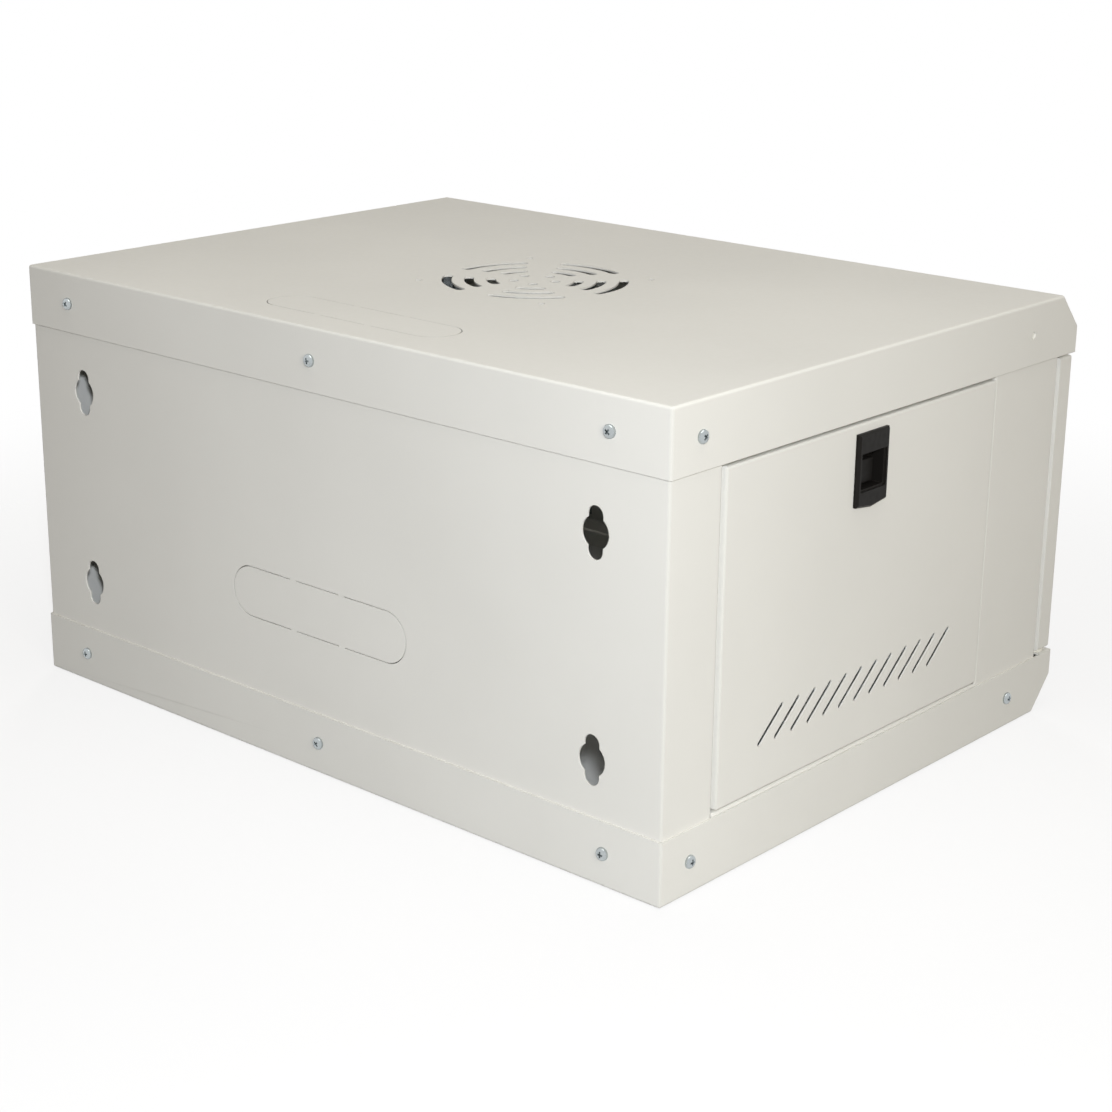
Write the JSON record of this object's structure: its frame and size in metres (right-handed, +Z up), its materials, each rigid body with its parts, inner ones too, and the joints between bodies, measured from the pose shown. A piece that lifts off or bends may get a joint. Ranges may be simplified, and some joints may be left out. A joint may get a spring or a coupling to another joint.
{
  "type": "wall mount network cabinet",
  "caption": "Wall mount 19-inch network cabinet: folded top and bottom covers, glazed lockable front door, vented lift-off side panels with sliding latches, and a fan grille in the top.",
  "frame": {"origin": "middle of the underside of the bottom cover, halfway between the front and rear faces", "axes": "+X along the width, to the right for someone facing the glazed front; +Y from the front towards the wall; +Z up"},
  "size_m": [0.5452, 0.4136, 0.28],
  "materials": {
    "cabinet_paint": "fine-texture powder coat",
    "zinc_steel": "bright zinc plate",
    "black_plastic": "satin moulded",
    "smoked_glass": "smoked, polished, tempered",
    "seal_rubber": "matt",
    "nylon_bush": "satin moulded",
    "chrome_lock": "polished plate"
  },
  "bodies": {
    "cabinet": {"top_cover": "cabinet_paint", "bottom_cover": "cabinet_paint", "rear_panel": "cabinet_paint", "side_frame_left": "cabinet_paint", "side_frame_right": "cabinet_paint", "rack_rail_left": "zinc_steel", "rack_rail_right": "zinc_steel", "support_bar_left_lower": "zinc_steel", "support_bar_left_upper": "zinc_steel", "support_bar_right_lower": "zinc_steel", "support_bar_right_upper": "zinc_steel", "rail_bolts": "zinc_steel", "rail_nuts": "zinc_steel", "bar_screws": "zinc_steel", "bar_nuts": "zinc_steel", "weld_nuts": "zinc_steel", "cover_screws_rear": "zinc_steel", "cover_screws_left": "zinc_steel", "cover_screws_right": "zinc_steel", "earth_stud": "zinc_steel", "earth_nut": "zinc_steel", "upper_pin_bush": "nylon_bush", "lower_pin_bush": "nylon_bush"},
    "door": {"door_frame": "cabinet_paint", "door_glass": "smoked_glass", "door_gasket": "seal_rubber", "glass_clips": "zinc_steel", "glass_clip_studs": "zinc_steel", "glass_clip_nuts": "zinc_steel", "lower_hinge_pin": "zinc_steel", "pin_bracket": "zinc_steel", "pin_spring": "zinc_steel", "lock_housing": "chrome_lock", "lock_nut": "zinc_steel"},
    "hinge_pin": {"upper_hinge_pin": "zinc_steel"},
    "lock": {"lock_barrel": "chrome_lock", "lock_cam": "zinc_steel", "lock_cam_nut": "zinc_steel"},
    "side_panel_left": {"side_panel_left": "cabinet_paint", "latch_housing_left": "black_plastic"},
    "side_panel_right": {"side_panel_right": "cabinet_paint", "latch_housing_right": "black_plastic"},
    "latch_left": {"latch_slider_left": "black_plastic"},
    "latch_right": {"latch_slider_right": "black_plastic"}
  },
  "joints": [
    {"name": "door_swing", "type": "hinge", "parent": "cabinet", "child": "door", "pos_m": [-0.26, -0.197, 0.14], "axis": [0, 0, -1], "range_deg": [0, 180]},
    {"name": "hinge_pin_pull", "type": "slide", "parent": "door", "child": "hinge_pin", "axis": [0, 0, -1], "range_m": [0, 0.007], "stiffness_N_per_m": 300, "springref_m": -0.01, "deforming": ["pin_spring"]},
    {"name": "lock_turn", "type": "hinge", "parent": "door", "child": "lock", "pos_m": [0.239, -0.2, 0.14], "axis": [0, 1, 0], "range_deg": [0, 90]},
    {"name": "side_panel_left_tilt", "type": "hinge", "parent": "cabinet", "child": "side_panel_left", "pos_m": [-0.2696, 0.02365, 0.042], "axis": [0, -1, 0], "range_deg": [0, 30]},
    {"name": "side_panel_right_tilt", "type": "hinge", "parent": "cabinet", "child": "side_panel_right", "pos_m": [0.2696, 0.02365, 0.042], "axis": [0, 1, 0], "range_deg": [0, 30]},
    {"name": "latch_left_slide", "type": "slide", "parent": "side_panel_left", "child": "latch_left", "axis": [0, 0, 1], "range_m": [0, 0.005]},
    {"name": "latch_right_slide", "type": "slide", "parent": "side_panel_right", "child": "latch_right", "axis": [0, 0, 1], "range_m": [0, 0.005]}
  ]
}
